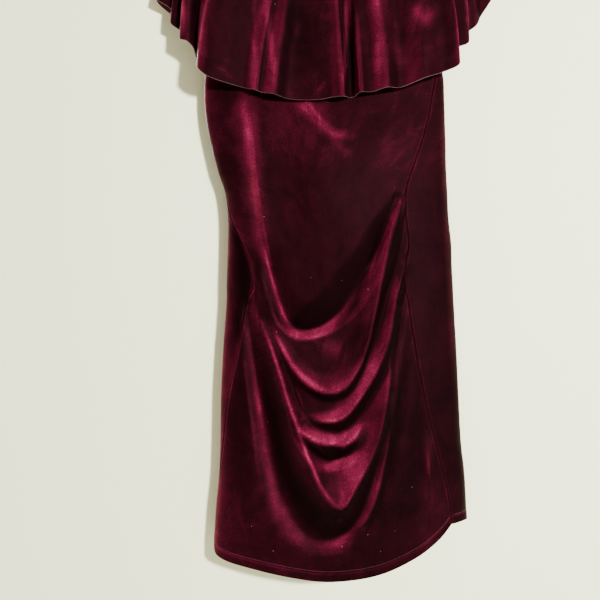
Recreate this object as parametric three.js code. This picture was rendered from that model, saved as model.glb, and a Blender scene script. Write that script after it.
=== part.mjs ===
// A velvet bodycon dress with a circular flounce, hanging on a plain wooden hanger.
//
// Millimetres, +Z up. The origin is the inside top of the hanger's hook, where the rod carries it.
// X = 0 is the centre line, -Y is the front and +Y the back, towards the wall.
//
// The dress is a flattened tube of stretch velvet: a front and a back panel, joined at two side
// seams that wander on to the front where the front is gathered. The front hangs in draped folds
// from seam to seam. A circular flounce, cut in a front and a back half, is sewn to the round
// neckline, passes over the hanger's ends and falls in flutes to a hem at the hips.

import * as THREE from 'three';

// ---- driving sizes -----------------------------------------------------------------------------

const CLOTH = 1.5;                 // thickness of the velvet wall
const SEAM_GAP = 0.3;              // between pieces that are sewn edge to edge

const HOOK_WIRE = 4;               // diameter of the hook's wire
const HOOK_INSIDE = 20;            // inside radius of the hook
const HANGER_PEAK = -72;           // top of the hanger's bar at its middle
const HANGER_DROP = 56.4;          // how far the bar's ends lie below its middle
const HANGER_HALF = 200;           // half the bar's width
const HANGER_CURVE = 1.3;          // how the bar's slope grows outwards
const HANGER_THICK = 12;           // front to back
const HANGER_BEVEL = 4;            // rounding of the bar's long edges
const HANGER_MIDDLE_HEIGHT = 27;   // height of the bar at its middle
const HANGER_END_HEIGHT = 17;      // and at its ends
const HANGER_STEPS = 20;           // steps along the bar's top edge

const NECK_HALF = 115;             // half the neckline's width, at the shoulder
const NECK_FRONT_DROP = 92;        // neckline below the shoulder at the centre front
const NECK_BACK_DROP = 25;         // and at the centre back
const NECK_FRONT_DEPTH = 25;       // how far forward the neckline's middle lies
const NECK_BACK_DEPTH = 14;        // and how far back
const NECK_EDGE = 3;               // height of the last rows below the neckline's edge
const NECK_TURN = 6;               // width over which the neckline turns into the shoulder
const SHOULDER_CLEAR = 2.6;        // cloth above the hanger's bar
const SHOULDER_ROUND = HANGER_THICK / 2 + SHOULDER_CLEAR + CLOTH;
const SHOULDER_INSET = 0.05;       // share by which the shoulder is narrower than the underarm
const ARMHOLE_INSET = 0.045;       // share by which the armhole curves in between them
const ARMHOLE_BOW = { front: 12, back: 4 };  // how far the armhole's edges stand apart
const SIDE_ROUNDNESS = 0.7;        // 1 makes the tube's section an ellipse, less a blunter one
const UNDERARM = -308;             // height of the bottom of the armholes
const SKIRT_TOP = -470;            // height where the closely spaced rows end

// The tube's sections, from the underarm to the hem. left and right are the outline, front and
// back the depths, seamLeft and seamRight where the side seams lie on the front.
const SECTIONS = [
  { z: -308, left: -200, right: 200, front: 26, back: 12, seamLeft: -200, seamRight: 200 },
  { z: -380, left: -199, right: 199, front: 28, back: 13, seamLeft: -199, seamRight: 199 },
  { z: -443, left: -211, right: 212, front: 31, back: 13, seamLeft: -211, seamRight: 197 },
  { z: -487, left: -212, right: 214, front: 34, back: 14, seamLeft: -212, seamRight: 189 },
  { z: -522, left: -209, right: 215, front: 39, back: 14, seamLeft: -209, seamRight: 182 },
  { z: -558, left: -202, right: 216, front: 43, back: 15, seamLeft: -202, seamRight: 172 },
  { z: -611, left: -189, right: 217, front: 46, back: 15, seamLeft: -189, seamRight: 154 },
  { z: -650, left: -176, right: 219, front: 47, back: 16, seamLeft: -176, seamRight: 141 },
  { z: -695, left: -171, right: 221, front: 48, back: 16, seamLeft: -164, seamRight: 140 },
  { z: -744, left: -171, right: 226, front: 48, back: 16, seamLeft: -142, seamRight: 145 },
  { z: -780, left: -172, right: 227, front: 48, back: 16, seamLeft: -127, seamRight: 140 },
  { z: -817, left: -173, right: 229, front: 48, back: 16, seamLeft: -123, seamRight: 138 },
  { z: -841, left: -173, right: 230, front: 48, back: 16, seamLeft: -133, seamRight: 143 },
  { z: -928, left: -179, right: 235, front: 48, back: 16, seamLeft: -150, seamRight: 157 },
  { z: -1014, left: -183, right: 239, front: 49, back: 16, seamLeft: -168, seamRight: 174 },
  { z: -1091, left: -184, right: 243, front: 51, back: 17, seamLeft: -177, seamRight: 192 },
  { z: -1146, left: -186, right: 249, front: 53, back: 18, seamLeft: -185, seamRight: 207 },
  { z: -1200, left: -191, right: 252, front: 56, back: 18, seamLeft: -191, seamRight: 217 },
  { z: -1260, left: -195, right: 255, front: 58, back: 18, seamLeft: -195, seamRight: 222 },
];

// The hem's height across each panel, from the left seam (share 0) to the right seam (share 1).
const FRONT_HEM = [
  { share: 0, z: -1269 },
  { share: 0.05, z: -1287 },
  { share: 0.2, z: -1302 },
  { share: 0.38, z: -1316 },
  { share: 0.52, z: -1321 },
  { share: 0.7, z: -1310 },
  { share: 0.85, z: -1282 },
  { share: 0.95, z: -1251 },
  { share: 1, z: -1229 },
];
const BACK_HEM = [
  { share: 0, z: -1269 },
  { share: 0.1, z: -1262 },
  { share: 0.5, z: -1246 },
  { share: 0.93, z: -1226 },
  { share: 1, z: -1229 },
];

// The drape of the front. Each fold follows a path across the front (x, z), from left to right.
// heights, and the widths of its slopes on the upper and on the under side, are values at even
// shares of the path. A fold of negative height is a crease.
const FOLDS = [
  { name: 'bellyFlank', heights: [5, 14, 0],
    upper: [60, 60], under: [32, 30, 24],
    path: [[-134, -460], [-124, -560], [-110, -680], [-88, -790], [-66, -860]] },
  { name: 'bellyCrease', heights: [0, -12, -18, -12, -8, -3],
    upper: [20, 30, 44, 44, 28, 14], under: [18, 14, 13, 26, 28, 14],
    path: [[-110, -735], [-95, -790], [-79, -844], [-65, -878], [-44, -893], [-14, -889],
      [18, -868], [50, -824], [80, -768], [104, -712], [126, -668]] },
  { name: 'upperCowl', heights: [0, 11, 14, 10, 13, 14, 3],
    upper: [8, 16, 34, 50, 30, 18, 10], under: [8, 14, 12, 9, 16, 18, 10],
    path: [[-100, -876], [-76, -918], [-55, -956], [-30, -984], [0, -1000], [28, -996], [50, -970],
      [70, -925], [84, -870], [98, -800], [114, -730], [130, -675]] },
  { name: 'rightCowl', heights: [0, 11, 16, 15, 12, 2],
    upper: [6, 20, 36, 30, 18, 8], under: [8, 16, 18, 16, 12, 8],
    path: [[-44, -1036], [-22, -1044], [0, -1048], [24, -1047], [44, -1031], [68, -995],
      [90, -955], [108, -905], [118, -855], [129, -810], [137, -780]] },
  { name: 'lowerCowl', heights: [0, 17, 15, 0],
    upper: [5, 13, 17, 8], under: [8, 24, 24, 10],
    path: [[-54, -1050], [-37, -1065], [-14, -1079], [7, -1086], [31, -1087], [49, -1076],
      [70, -1045]] },
  { name: 'deepCowl', heights: [0, 28, 38, 24, 4],
    upper: [8, 10, 68, 40, 12], under: [14, 30, 56, 22, 10],
    path: [[-122, -850], [-88, -933], [-61, -1011], [-34, -1086], [-6, -1158], [26, -1188],
      [56, -1148], [88, -1085], [104, -1010], [112, -935], [126, -860]] },
  { name: 'pocket', heights: [-3, -12, -13, -10, 0],
    upper: [12, 14, 12, 10], under: [8, 12, 12, 10],
    path: [[-76, -955], [-54, -1025], [-34, -1082], [2, -1116], [38, -1106], [66, -1072]] },
  { name: 'bellyGap', heights: [0, -9, -2],
    upper: [9, 9], under: [6, 6],
    path: [[74, -805], [90, -758], [108, -712]] },
  { name: 'trough', heights: [-6, -15, -8, -12, -2],
    upper: [12, 20, 50, 24, 12], under: [14, 16, 26, 18, 12],
    path: [[-134, -850], [-124, -930], [-112, -1020], [-92, -1125], [-60, -1210], [-12, -1252],
      [34, -1240], [72, -1170], [94, -1095], [112, -1000]] },
  { name: 'rightRidge', heights: [0, 6, 8, 7, 3],
    upper: [14, 18, 16], under: [14, 24, 22],
    path: [[17, -1292], [34, -1252], [72, -1208], [102, -1113], [119, -1000], [130, -920],
      [134, -870]] },
  { name: 'hemRidge', heights: [0, 5, 0],
    upper: [14, 14], under: [14, 14],
    path: [[180, -1067], [178, -1113], [184, -1181]] },
  { name: 'topRidge', heights: [2, 6, 0],
    upper: [16, 18], under: [14, 12],
    path: [[-46, -474], [-26, -505], [0, -536], [34, -550]] },
];
const BELLY = { x: -8, z: -650, wide: 105, high: 125, height: 16 };

// Soft vertical folds of the back, as the cloth hangs from the shoulders.
const BACK_FOLDS = [
  { x: -110, height: 4, wide: 34 },
  { x: -20, height: -3, wide: 40 },
  { x: 70, height: 4, wide: 36 },
  { x: 165, height: 3, wide: 26 },
];

// The flounce's hem, a row for each ridge, valley and turned edge of its flutes, from the left
// side to the right side: front half, then back half.
const FLOUNCE_FRONT_HEM = [
  { x: -300, y: 0, z: -303 },
  { x: -297, y: -9, z: -309 },
  { x: -264, y: -5, z: -332 },
  { x: -270, y: -18, z: -354 },
  { x: -248, y: -17, z: -371 },
  { x: -251, y: -35, z: -388 },
  { x: -237, y: -43, z: -395 },
  { x: -227, y: -38, z: -404 },
  { x: -223, y: -22, z: -420 },
  { x: -221, y: -40, z: -436 },
  { x: -217, y: -57, z: -446 },
  { x: -199, y: -62, z: -461 },
  { x: -160, y: -52, z: -472 },
  { x: -136, y: -46, z: -477 },
  { x: -118, y: -59, z: -484 },
  { x: -107, y: -55, z: -487 },
  { x: -88, y: -66, z: -492 },
  { x: -62, y: -52, z: -497 },
  { x: -12, y: -54, z: -499 },
  { x: 12, y: -58, z: -496 },
  { x: 30, y: -68, z: -497 },
  { x: 39, y: -56, z: -495 },
  { x: 42, y: -43, z: -493 },
  { x: 51, y: -43, z: -491 },
  { x: 54, y: -54, z: -490 },
  { x: 61, y: -65, z: -489 },
  { x: 80, y: -56, z: -486 },
  { x: 104, y: -68, z: -482 },
  { x: 130, y: -51, z: -477 },
  { x: 169, y: -62, z: -464 },
  { x: 203, y: -53, z: -451 },
  { x: 230, y: -58, z: -438 },
  { x: 217, y: -38, z: -409 },
  { x: 249, y: -38, z: -396 },
  { x: 252, y: -20, z: -372 },
  { x: 268, y: -18, z: -358 },
  { x: 278, y: -8, z: -338 },
  { x: 297, y: -9, z: -309 },
  { x: 300, y: 0, z: -303 },
];
const FLOUNCE_BACK_HEM = [
  { x: -300, y: 0, z: -303 },
  { x: -296, y: 9, z: -310 },
  { x: -262, y: 17, z: -336 },
  { x: -214, y: 23, z: -372 },
  { x: -165, y: 18, z: -398 },
  { x: -112, y: 24, z: -417 },
  { x: -58, y: 18, z: -428 },
  { x: 0, y: 24, z: -433 },
  { x: 56, y: 18, z: -428 },
  { x: 110, y: 24, z: -416 },
  { x: 163, y: 18, z: -397 },
  { x: 212, y: 23, z: -371 },
  { x: 262, y: 17, z: -336 },
  { x: 296, y: 9, z: -310 },
  { x: 300, y: 0, z: -303 },
];
const FLOUNCE_OVER = 4;            // flounce above the neckline's cloth
const FLOUNCE_NECK_BACK = 19;      // how far back the flounce starts at the centre back
const FLOUNCE_SHOULDER = { x: 165, z: -99, forward: 0.4 };  // what its side path is drawn towards:
const FLOUNCE_FALL = { x: 262, z: -110, forward: 0.9 };     // the shoulder, then past the bar's end
const FLOUNCE_SPREAD = 3;          // how quickly the front's straight fall gives way to that path

// How finely each cloth is divided.
const FRONT_COLUMNS = 40;
const BACK_COLUMNS = 18;
const DRESS_ROWS = [
  { part: 'skirt', rows: 34 },
  { part: 'waist', rows: 4 },
  { part: 'armhole', rows: 6 },
  { part: 'shoulder', rows: 3 },
];
const FLOUNCE_ROWS = 7;
const COLUMNS_PER_FLUTE_EDGE = 2;
const FOLD_SAMPLES = 40;
const FOLD_ROUND = 3;              // how softly the cloth bends over a fold's edge
const FOLD_BLEND = { from: 10, to: 26 };  // where, off a fold's path, its arms' slopes start to blend
const RING_SAMPLES = 60;
const NORMAL_STEP = 0.002;         // share of a face over which its normals are measured

// ---- materials ---------------------------------------------------------------------------------

const velvet = new THREE.Color(0x5a0f22);
const wood = new THREE.Color(0xb98c5a);
const steel = new THREE.Color(0xb8babd);

function material(color, roughness, metalness) {
  return new THREE.MeshStandardMaterial({ color, roughness, metalness });
}

// ---- small tools -------------------------------------------------------------------------------

const mix = (a, b, share) => a + (b - a) * share;

function smooth(from, to, value) {
  const share = Math.min(1, Math.max(0, (value - from) / (to - from)));
  return share * share * (3 - 2 * share);
}

// Value of one column of a table at a place along another, on a smooth curve through its rows.
function lookUp(table, along, place, name) {
  const order = Math.sign(table[1][along] - table[0][along]);
  const last = table.length - 1;
  let row = 0;
  while (row < last - 1 && order * (place - table[row + 1][along]) > 0) {
    row += 1;
  }
  const slopeAt = (index) => {
    const before = table[Math.max(0, index - 1)];
    const after = table[Math.min(last, index + 1)];
    return (after[name] - before[name]) / (after[along] - before[along]);
  };
  const step = table[row + 1][along] - table[row][along];
  const share = Math.min(1, Math.max(0, (place - table[row][along]) / step));
  const square = share * share;
  const cube = square * share;
  return (2 * cube - 3 * square + 1) * table[row][name]
    + (cube - 2 * square + share) * step * slopeAt(row)
    + (3 * square - 2 * cube) * table[row + 1][name]
    + (cube - square) * step * slopeAt(row + 1);
}

// ---- the drape of the front --------------------------------------------------------------------

// A value along a fold, smoothly from each of the evenly spaced values to the next.
function alongFold(values, along) {
  const place = along * (values.length - 1);
  const row = Math.min(values.length - 2, Math.floor(place));
  return mix(values[row], values[row + 1], smooth(0, 1, place - row));
}

const foldLines = FOLDS.map((fold) => {
  const corners = fold.path.map(([x, z]) => new THREE.Vector3(x, 0, z));
  const line = new THREE.CatmullRomCurve3(corners, false, 'centripetal').getSpacedPoints(FOLD_SAMPLES);
  const values = line.map((_, i) => ({
    height: alongFold(fold.heights, i / FOLD_SAMPLES),
    upper: alongFold(fold.upper, i / FOLD_SAMPLES),
    under: alongFold(fold.under, i / FOLD_SAMPLES),
  }));
  return { line, values };
});

// How far a fold lifts the cloth at a place. The slope is steepest beside the fold's path. Away
// from the path every stretch of it counts, the nearer the more, so that the slopes of a fold's
// two arms meet softly.
function foldLift({ line, values }, x, z) {
  let nearest = Infinity;
  let above = false;
  let weights = 0;
  const sum = { height: 0, upper: 0, under: 0 };
  for (let i = 0; i < FOLD_SAMPLES; i += 1) {
    const a = line[i];
    const b = line[i + 1];
    const dx = b.x - a.x;
    const dz = b.z - a.z;
    const share = Math.min(1, Math.max(0, ((x - a.x) * dx + (z - a.z) * dz) / (dx * dx + dz * dz)));
    const offX = x - a.x - share * dx;
    const offZ = z - a.z - share * dz;
    const distance = Math.hypot(offX, offZ);
    if (distance < nearest) {
      nearest = distance;
      above = dx * offZ - dz * offX > 0;
    }
    const weight = Math.max(distance, 1) ** -8;
    weights += weight;
    Object.keys(sum).forEach((name) => {
      sum[name] += weight * mix(values[i][name], values[i + 1][name], share);
    });
  }
  const soft = (weights * line[0].distanceTo(line[1]) / 0.98) ** (-1 / 7);
  const away = mix(nearest, soft, smooth(FOLD_BLEND.from, FOLD_BLEND.to, nearest));
  const reach = (above ? sum.upper : sum.under) / weights;
  const off = (Math.hypot(away, FOLD_ROUND) - FOLD_ROUND) / reach;
  return sum.height / weights * Math.max(0, 1 - off) ** 1.5;
}

function frontLift(x, z) {
  const belly = BELLY.height * Math.exp(-(((x - BELLY.x) / BELLY.wide) ** 2)
    - ((z - BELLY.z) / BELLY.high) ** 2);
  return foldLines.reduce((sum, fold) => sum + foldLift(fold, x, z), belly);
}

function backLift(x, z) {
  const grown = smooth(UNDERARM, SECTIONS.at(-1).z, z);
  return BACK_FOLDS.reduce((sum, fold) => {
    return sum + grown * fold.height * Math.exp(-(((x - fold.x) / fold.wide) ** 2));
  }, 0);
}

// ---- the tube of the dress ---------------------------------------------------------------------

// The section at one height. Angle 0 is the centre front, a quarter turn the right-hand side.
function sectionAt(z) {
  const level = Math.min(SECTIONS[0].z, Math.max(SECTIONS.at(-1).z, z));
  const left = lookUp(SECTIONS, 'z', level, 'left');
  const right = lookUp(SECTIONS, 'z', level, 'right');
  const half = (right - left) / 2;
  const middle = (right + left) / 2;
  const toAngle = (x) => Math.asin(Math.min(1, Math.max(-1, (x - middle) / half)));
  return {
    z,
    half,
    middle,
    front: lookUp(SECTIONS, 'z', level, 'front'),
    back: lookUp(SECTIONS, 'z', level, 'back'),
    seamLeft: toAngle(lookUp(SECTIONS, 'z', level, 'seamLeft')),
    seamRight: toAngle(lookUp(SECTIONS, 'z', level, 'seamRight')),
  };
}

// How far before (+) or behind (-) the side seams' plane the plain section lies at an angle.
function sectionDepth(section, angle) {
  const ahead = Math.cos(angle);
  const depth = Math.abs(ahead) ** SIDE_ROUNDNESS;
  return ahead > 0 ? section.front * depth : -section.back * depth;
}

function pointOnSection(section, angle) {
  const x = section.middle + section.half * Math.sin(angle);
  const away = smooth(0, 0.4, Math.abs(Math.cos(angle)));
  const lift = Math.cos(angle) > 0 ? frontLift(x, section.z) : -backLift(x, section.z);
  return new THREE.Vector3(x, -sectionDepth(section, angle) - away * lift, section.z);
}

// The angle that lies at a share of the way along the section, between two of its angles.
function angleAtShare(section, from, to, share) {
  const lengths = [0];
  const flat = (angle) => [section.half * Math.sin(angle), sectionDepth(section, angle)];
  let before = flat(from);
  for (let i = 1; i <= RING_SAMPLES; i += 1) {
    const here = flat(mix(from, to, i / RING_SAMPLES));
    lengths.push(lengths[i - 1] + Math.hypot(here[0] - before[0], here[1] - before[1]));
    before = here;
  }
  const target = share * lengths[RING_SAMPLES];
  let i = 0;
  while (i < RING_SAMPLES - 1 && lengths[i + 1] < target) {
    i += 1;
  }
  return mix(from, to, (i + (target - lengths[i]) / (lengths[i + 1] - lengths[i])) / RING_SAMPLES);
}

function tubePoint(panel, across, z) {
  const section = sectionAt(z);
  const front = panel === 'front';
  const from = section.seamLeft;
  const to = front ? section.seamRight : section.seamRight - 2 * Math.PI;
  const round = Math.PI * (section.half + (section.front + section.back) / 2) * 0.65;
  const trim = SEAM_GAP / 2 / round;
  return pointOnSection(section, angleAtShare(section, from, to, mix(trim, 1 - trim, across)));
}

// ---- shoulders, neckline and armholes ----------------------------------------------------------

function barTop(x) {
  return HANGER_PEAK - HANGER_DROP * (Math.abs(x) / HANGER_HALF) ** HANGER_CURVE;
}

function shoulderTop(x) {
  return barTop(x) + SHOULDER_CLEAR + CLOTH;
}

// The neckline at one x: how far it lies below the shoulder's line, and how far from the middle.
function neckline(panel, x) {
  const inside = Math.max(0, 1 - (x / NECK_HALF) ** 2);
  const drop = panel === 'front' ? NECK_FRONT_DROP : NECK_BACK_DROP;
  const depth = panel === 'front' ? NECK_FRONT_DEPTH : NECK_BACK_DEPTH;
  return {
    z: shoulderTop(NECK_HALF) - drop * inside,
    depth: Math.max(SHOULDER_ROUND, depth * inside ** 0.25),
  };
}

// Above the underarm each panel runs up to the neckline or over the hanger's bar.
function yokePoint(panel, across, up) {
  const side = panel === 'front' ? -1 : 1;
  const foot = tubePoint(panel, across, UNDERARM);
  const out = Math.abs(foot.x / SECTIONS[0].right) ** 3;
  const topX = foot.x * (1 - SHOULDER_INSET * out);
  const neck = neckline(panel, topX);
  const onShoulder = smooth(NECK_HALF, NECK_HALF + NECK_TURN, Math.abs(topX));
  const topZ = mix(neck.z - NECK_EDGE, shoulderTop(topX) - SHOULDER_ROUND, onShoulder);
  const topY = side * mix(neck.depth, SHOULDER_ROUND, onShoulder);
  if (up <= 1) {
    const inset = SHOULDER_INSET * up + ARMHOLE_INSET * Math.sin(Math.PI * up);
    const bow = ARMHOLE_BOW[panel] * Math.sin(Math.PI * up) * out;
    return new THREE.Vector3(
      foot.x * (1 - inset * out),
      mix(foot.y, topY, smooth(0, 1, up)) + side * bow,
      mix(UNDERARM, topZ, up),
    );
  }
  const turn = (up - 1) * Math.PI / 2;
  const seam = SEAM_GAP / 2;
  const overY = side * (seam + (SHOULDER_ROUND - seam) * Math.cos(turn));
  return new THREE.Vector3(
    topX,
    mix(topY, overY, onShoulder),
    topZ + mix(NECK_EDGE * (up - 1), SHOULDER_ROUND * Math.sin(turn), onShoulder),
  );
}

// A point of a panel's outer face: up is 0 at the hem, 1 at the skirt's top, 2 at the underarm,
// 3 below the shoulder's turn and 4 at the neckline or shoulder seam.
function dressPoint(panel, across, up) {
  const hem = lookUp(panel === 'front' ? FRONT_HEM : BACK_HEM, 'share', across, 'z');
  if (up <= 1) {
    return tubePoint(panel, across, mix(hem, SKIRT_TOP, up));
  }
  if (up <= 2) {
    return tubePoint(panel, across, mix(SKIRT_TOP, UNDERARM, up - 1));
  }
  return yokePoint(panel, across, up - 2);
}

// ---- the flounce -------------------------------------------------------------------------------

// A point of the flounce's outer face: along is 0 at the left side and 1 at the right, down is
// 0 at the neckline and 1 at the hem.
function makeFlounce(panel, hemRows) {
  const side = panel === 'front' ? -1 : 1;
  const corners = hemRows.map((row) => new THREE.Vector3(row.x, row.y, row.z));
  const hem = new THREE.CatmullRomCurve3(corners, false, 'centripetal');
  const lengths = hem.getLengths(corners.length * 8);
  return (share, fallen) => {
    const along = Math.min(1, Math.max(0, share));
    const down = Math.min(1, Math.max(0, fallen));
    const place = along * (lengths.length - 1);
    const before = Math.min(lengths.length - 2, Math.floor(place));
    const length = mix(lengths[before], lengths[before + 1], place - before);
    const turn = (length / lengths.at(-1) - 0.5) * Math.PI;
    const neckX = NECK_HALF * Math.sin(turn);
    const depth = panel === 'front' ? NECK_FRONT_DEPTH + FLOUNCE_OVER + CLOTH : FLOUNCE_NECK_BACK;
    const drop = panel === 'front' ? NECK_FRONT_DROP : NECK_BACK_DROP;
    const inside = Math.max(0, Math.cos(turn));
    const neck = new THREE.Vector3(
      neckX * 1.02,
      side * depth * Math.sqrt(inside),
      shoulderTop(NECK_HALF) + FLOUNCE_OVER - drop * inside * inside,
    );
    const end = hem.getPoint(along);
    const over = Math.abs(Math.sin(turn)) ** FLOUNCE_SPREAD;
    const outward = Math.sign(turn);
    const shoulder = new THREE.Vector3(outward * FLOUNCE_SHOULDER.x,
      mix(neck.y, end.y, FLOUNCE_SHOULDER.forward), FLOUNCE_SHOULDER.z);
    const fall = new THREE.Vector3(outward * FLOUNCE_FALL.x,
      end.y * FLOUNCE_FALL.forward, FLOUNCE_FALL.z);
    const first = neck.clone().lerp(end, 1 / 3).lerp(shoulder, over);
    const second = neck.clone().lerp(end, 2 / 3).lerp(fall, over);
    const path = new THREE.CubicBezierCurve3(neck, first, second, end);
    const point = path.getPoint(down);
    const edge = Math.min(along, 1 - along);
    point.y += side * SEAM_GAP / 2 * Math.max(0, 1 - edge * 100);
    return point;
  };
}

// ---- from a face to a closed wall --------------------------------------------------------------

// The outer face is a grid of points. The inner face is the same grid moved in along the face's
// own normals, and the four edges close the wall. Where the side edges lie in the plane Y = 0,
// squareSides keeps the wall's own edge in it.
function wallMesh({ name, pointAt, acrossSteps, upSteps, inwardTurn, squareSides }) {
  const columns = acrossSteps.length;
  const rows = upSteps.length;
  const outer = upSteps.map((up) => acrossSteps.map((across) => pointAt(across, up)));
  const inner = outer.map((line, r) => line.map((point, c) => {
    const [across, up] = [acrossSteps[c], upSteps[r]];
    const right = pointAt(across + NORMAL_STEP, up).sub(pointAt(across - NORMAL_STEP, up));
    const above = pointAt(across, up + NORMAL_STEP).sub(pointAt(across, up - NORMAL_STEP));
    const inward = right.cross(above).multiplyScalar(-inwardTurn);
    if (squareSides && (c === 0 || c === columns - 1)) {
      inward.y = 0;
    }
    return point.clone().add(inward.setLength(CLOTH));
  }));
  const positions = [];
  [...outer.flat(), ...inner.flat()].forEach((point) => positions.push(point.x, point.y, point.z));
  const triangles = [];
  const outerAt = (r, c) => r * columns + c;
  const innerAt = (r, c) => rows * columns + r * columns + c;
  const quad = (a, b, c, d) => {
    const order = inwardTurn > 0 ? [a, b, c, a, c, d] : [a, c, b, a, d, c];
    triangles.push(...order);
  };
  for (let r = 0; r < rows - 1; r += 1) {
    for (let c = 0; c < columns - 1; c += 1) {
      quad(outerAt(r, c), outerAt(r, c + 1), outerAt(r + 1, c + 1), outerAt(r + 1, c));
      quad(innerAt(r, c), innerAt(r + 1, c), innerAt(r + 1, c + 1), innerAt(r, c + 1));
    }
  }
  for (let c = 0; c < columns - 1; c += 1) {
    quad(outerAt(0, c), innerAt(0, c), innerAt(0, c + 1), outerAt(0, c + 1));
    quad(outerAt(rows - 1, c), outerAt(rows - 1, c + 1), innerAt(rows - 1, c + 1), innerAt(rows - 1, c));
  }
  for (let r = 0; r < rows - 1; r += 1) {
    quad(outerAt(r, 0), outerAt(r + 1, 0), innerAt(r + 1, 0), innerAt(r, 0));
    quad(outerAt(r, columns - 1), innerAt(r, columns - 1), innerAt(r + 1, columns - 1),
      outerAt(r + 1, columns - 1));
  }
  const geometry = new THREE.BufferGeometry();
  geometry.setAttribute('position', new THREE.Float32BufferAttribute(positions, 3));
  geometry.setIndex(triangles);
  geometry.computeVertexNormals();
  const mesh = new THREE.Mesh(geometry, material(velvet, 0.85, 0));
  mesh.name = name;
  return mesh;
}

function evenSteps(count) {
  return Array.from({ length: count + 1 }, (_, i) => i / count);
}

function dressRows() {
  const steps = [0];
  DRESS_ROWS.forEach((span, index) => {
    evenSteps(span.rows).slice(1).forEach((share) => steps.push(index + share));
  });
  return steps;
}

function dressPanel(panel, columns) {
  return wallMesh({
    name: `dress_${panel}`,
    pointAt: (across, up) => dressPoint(panel, across, up),
    acrossSteps: evenSteps(columns),
    upSteps: dressRows(),
    inwardTurn: panel === 'front' ? 1 : -1,
    squareSides: false,
  });
}

function flouncePanel(panel, hemRows) {
  const face = makeFlounce(panel, hemRows);
  return wallMesh({
    name: `flounce_${panel}`,
    pointAt: (along, up) => face(along, 1 - up),
    acrossSteps: evenSteps((hemRows.length - 1) * COLUMNS_PER_FLUTE_EDGE),
    upSteps: evenSteps(FLOUNCE_ROWS),
    inwardTurn: panel === 'front' ? 1 : -1,
    squareSides: true,
  });
}

// ---- the hanger --------------------------------------------------------------------------------

function hangerBar() {
  const outline = new THREE.Shape();
  const inner = HANGER_HALF - HANGER_BEVEL;
  const top = evenSteps(HANGER_STEPS).map((share) => {
    const x = mix(-inner, inner, share);
    return new THREE.Vector2(x, barTop(x) - HANGER_BEVEL);
  });
  const bottom = evenSteps(HANGER_STEPS / 2).map((share) => {
    const x = mix(inner, -inner, share);
    const height = mix(HANGER_MIDDLE_HEIGHT, HANGER_END_HEIGHT, Math.abs(x) / inner);
    return new THREE.Vector2(x, barTop(x) - height + HANGER_BEVEL);
  });
  outline.setFromPoints([...top, ...bottom]);
  const geometry = new THREE.ExtrudeGeometry(outline, {
    depth: HANGER_THICK - 2 * HANGER_BEVEL,
    bevelSize: HANGER_BEVEL,
    bevelThickness: HANGER_BEVEL,
    bevelSegments: 3,
  });
  geometry.translate(0, 0, HANGER_BEVEL - HANGER_THICK / 2);
  geometry.rotateX(Math.PI / 2);
  const mesh = new THREE.Mesh(geometry, material(wood, 0.5, 0));
  mesh.name = 'hanger_bar';
  return mesh;
}

function hangerHook() {
  const radius = HOOK_INSIDE + HOOK_WIRE / 2;
  const foot = barTop(0) + SEAM_GAP;
  const points = [
    new THREE.Vector3(0, 0, foot),
    new THREE.Vector3(0, 0, foot + 8),
    new THREE.Vector3(2, 0, foot + 17),
    new THREE.Vector3(10, 0, foot + 27),
  ];
  const arcFrom = -35;
  const arcTo = 200;
  const arcSteps = 9;
  evenSteps(arcSteps).forEach((share) => {
    const angle = THREE.MathUtils.degToRad(mix(arcFrom, arcTo, share));
    points.push(new THREE.Vector3(radius * Math.cos(angle), 0, radius * Math.sin(angle) - HOOK_INSIDE));
  });
  const circle = new THREE.Shape();
  circle.absarc(0, 0, HOOK_WIRE / 2, 0, 2 * Math.PI);
  const geometry = new THREE.ExtrudeGeometry(circle, {
    steps: 28,
    curveSegments: 4,
    extrudePath: new THREE.CatmullRomCurve3(points, false, 'centripetal'),
  });
  const mesh = new THREE.Mesh(geometry, material(steel, 0.3, 1));
  mesh.name = 'hanger_hook';
  return mesh;
}

// ---- the whole object --------------------------------------------------------------------------

const dress = new THREE.Group();
dress.add(
  dressPanel('front', FRONT_COLUMNS),
  dressPanel('back', BACK_COLUMNS),
  flouncePanel('front', FLOUNCE_FRONT_HEM),
  flouncePanel('back', FLOUNCE_BACK_HEM),
  hangerBar(),
  hangerHook(),
);

export default dress;
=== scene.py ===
"""The looks of a velvet bodycon dress with a circular flounce, hanging on a plain wooden hanger."""

import math
import random

import bpy
import numpy as np
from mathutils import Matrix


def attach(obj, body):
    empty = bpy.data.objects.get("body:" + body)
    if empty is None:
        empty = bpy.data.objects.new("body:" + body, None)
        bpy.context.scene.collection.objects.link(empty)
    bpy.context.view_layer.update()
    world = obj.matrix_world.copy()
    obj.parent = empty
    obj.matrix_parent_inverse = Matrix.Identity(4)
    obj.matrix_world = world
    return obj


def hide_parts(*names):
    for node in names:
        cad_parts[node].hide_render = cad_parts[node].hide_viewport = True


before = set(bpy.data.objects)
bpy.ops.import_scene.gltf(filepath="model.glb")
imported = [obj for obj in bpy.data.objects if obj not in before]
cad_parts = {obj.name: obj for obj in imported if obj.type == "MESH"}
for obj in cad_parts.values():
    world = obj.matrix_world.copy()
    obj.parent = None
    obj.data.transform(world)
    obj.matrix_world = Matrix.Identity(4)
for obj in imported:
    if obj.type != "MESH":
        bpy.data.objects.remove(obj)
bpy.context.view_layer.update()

MM = 0.001

# ---- sizes, in millimetres ---------------------------------------------------------------------

CLOTH = 1.2                 # thickness of the velvet, pile and backing
CAD_CLOTH = 1.5             # thickness of the solids' walls
SEAM_OPEN = 0.06            # what still shows between two sewn edges
SEAM_SINK = 0.9             # how deep the stitches pull the cloth in along a seam
SEAM_REACH = 2.4            # and how far from the seam

HANGER_PEAK = -72
HANGER_DROP = 56.4
HANGER_HALF = 200
HANGER_CURVE = 1.3
HANGER_THICK = 12

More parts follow.
